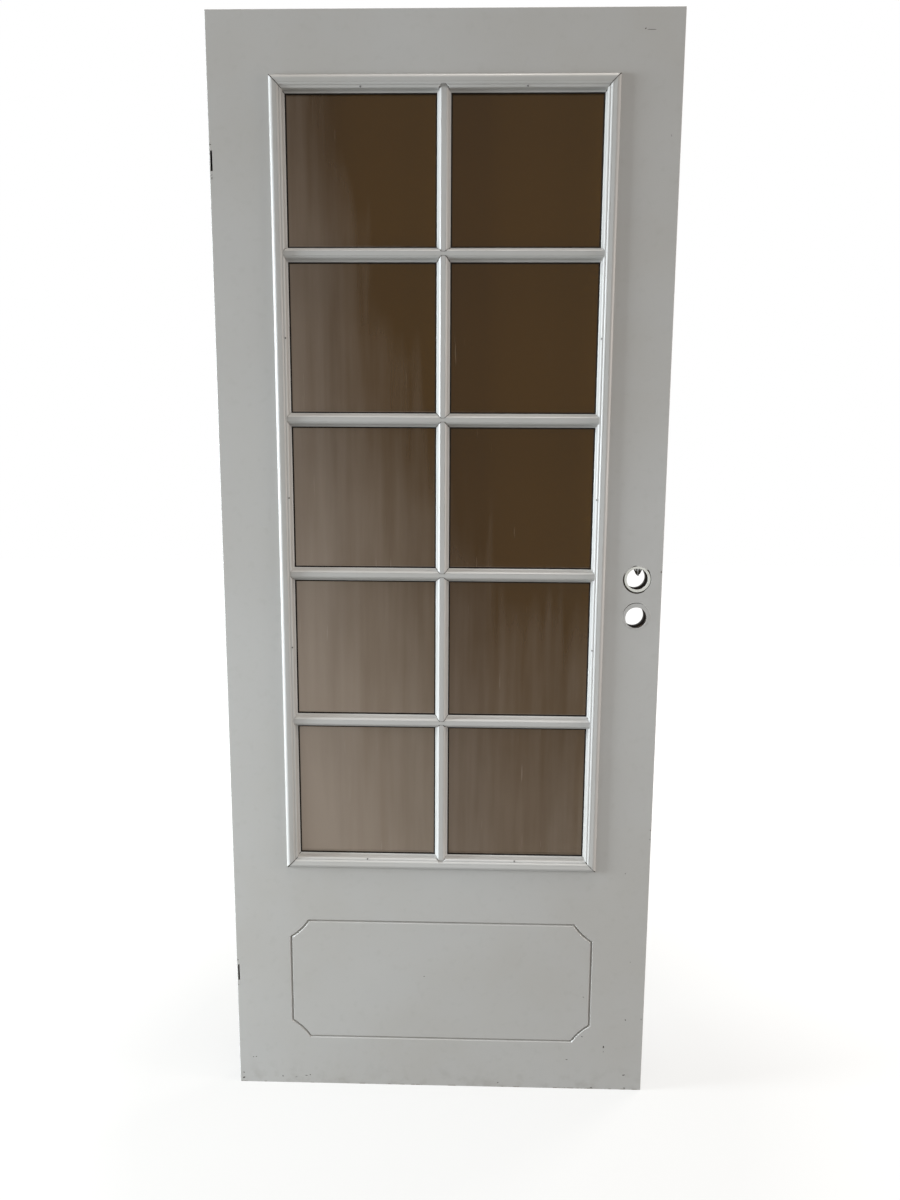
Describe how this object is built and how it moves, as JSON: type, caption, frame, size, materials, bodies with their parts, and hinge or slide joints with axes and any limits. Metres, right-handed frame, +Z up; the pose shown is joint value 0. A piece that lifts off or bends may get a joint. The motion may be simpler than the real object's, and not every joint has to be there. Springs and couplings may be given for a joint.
{
  "type": "glazed interior door leaf",
  "caption": "White flush door leaf with tinted glass behind a moulded lattice, a grooved panel below it, bored for a lock and slotted for hinges.",
  "frame": {"origin": "on the hinge edge, halfway up the leaf and halfway through its thickness", "axes": "+X from the hinge edge to the lock edge, -Y out of the front face, +Z up"},
  "size_m": [0.825, 0.0524, 2.04],
  "materials": {
    "painted_board": "white satin paint",
    "painted_moulding": "white satin paint",
    "edge_timber": "white paint outside, bare pine in the slots and the lock pocket",
    "bare_timber": "planed pine",
    "tinted_glass": "bronze, lightly textured",
    "glazing_tape": "matt black",
    "ring": "off-white, partly painted over"
  },
  "bodies": {
    "root": {"hinge_stile": "edge_timber", "lock_stile": "edge_timber", "top_rail": "edge_timber", "bottom_rail": "edge_timber", "lock_block": "bare_timber", "lining_left": "bare_timber", "lining_right": "bare_timber", "lining_head": "bare_timber", "lining_sill": "bare_timber", "front_skin": "painted_board", "back_skin": "painted_board", "glass_sheet": "tinted_glass", "front_glazing_tape": "glazing_tape", "front_bead_left": "painted_moulding", "front_bead_right": "painted_moulding", "front_bead_top": "painted_moulding", "front_bead_bottom": "painted_moulding", "front_bar_1": "painted_moulding", "front_bar_2": "painted_moulding", "front_bar_3": "painted_moulding", "front_bar_4": "painted_moulding", "front_mullion": "painted_moulding", "front_handle_ring": "ring", "front_key_ring": "ring", "back_glazing_tape": "glazing_tape", "back_bead_left": "painted_moulding", "back_bead_right": "painted_moulding", "back_bead_top": "painted_moulding", "back_bead_bottom": "painted_moulding", "back_bar_1": "painted_moulding", "back_bar_2": "painted_moulding", "back_bar_3": "painted_moulding", "back_bar_4": "painted_moulding", "back_mullion": "painted_moulding", "back_handle_ring": "ring", "back_key_ring": "ring"}
  },
  "joints": []
}
